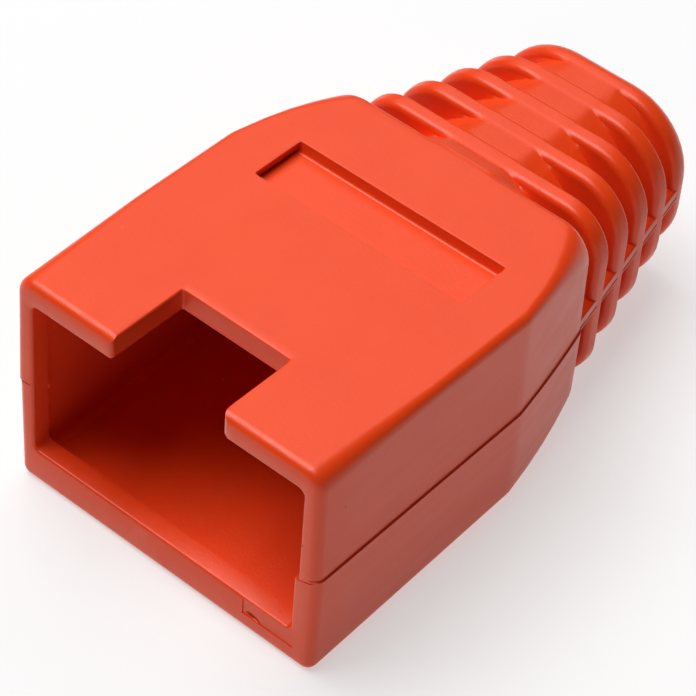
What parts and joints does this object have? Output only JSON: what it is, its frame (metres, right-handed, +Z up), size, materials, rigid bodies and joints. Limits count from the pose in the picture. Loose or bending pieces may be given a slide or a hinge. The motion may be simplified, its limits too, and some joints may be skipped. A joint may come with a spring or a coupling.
{
  "type": "rj45 strain relief boot",
  "caption": "One-piece soft boot for a modular plug: open box sleeve with a latch notch and grip pocket, a sloping shoulder, and a ribbed tapered tail round the cable.",
  "frame": {"origin": "centre of the bounding box's bottom", "axes": "+Y along the cable, from the open mouth to the tail; +Z up, the latch side; +X to the right when looking along +Y"},
  "size_m": [0.0142, 0.025, 0.0099],
  "materials": {
    "soft_pvc": "matt"
  },
  "bodies": {
    "root": {"boot": "soft_pvc"}
  },
  "joints": []
}
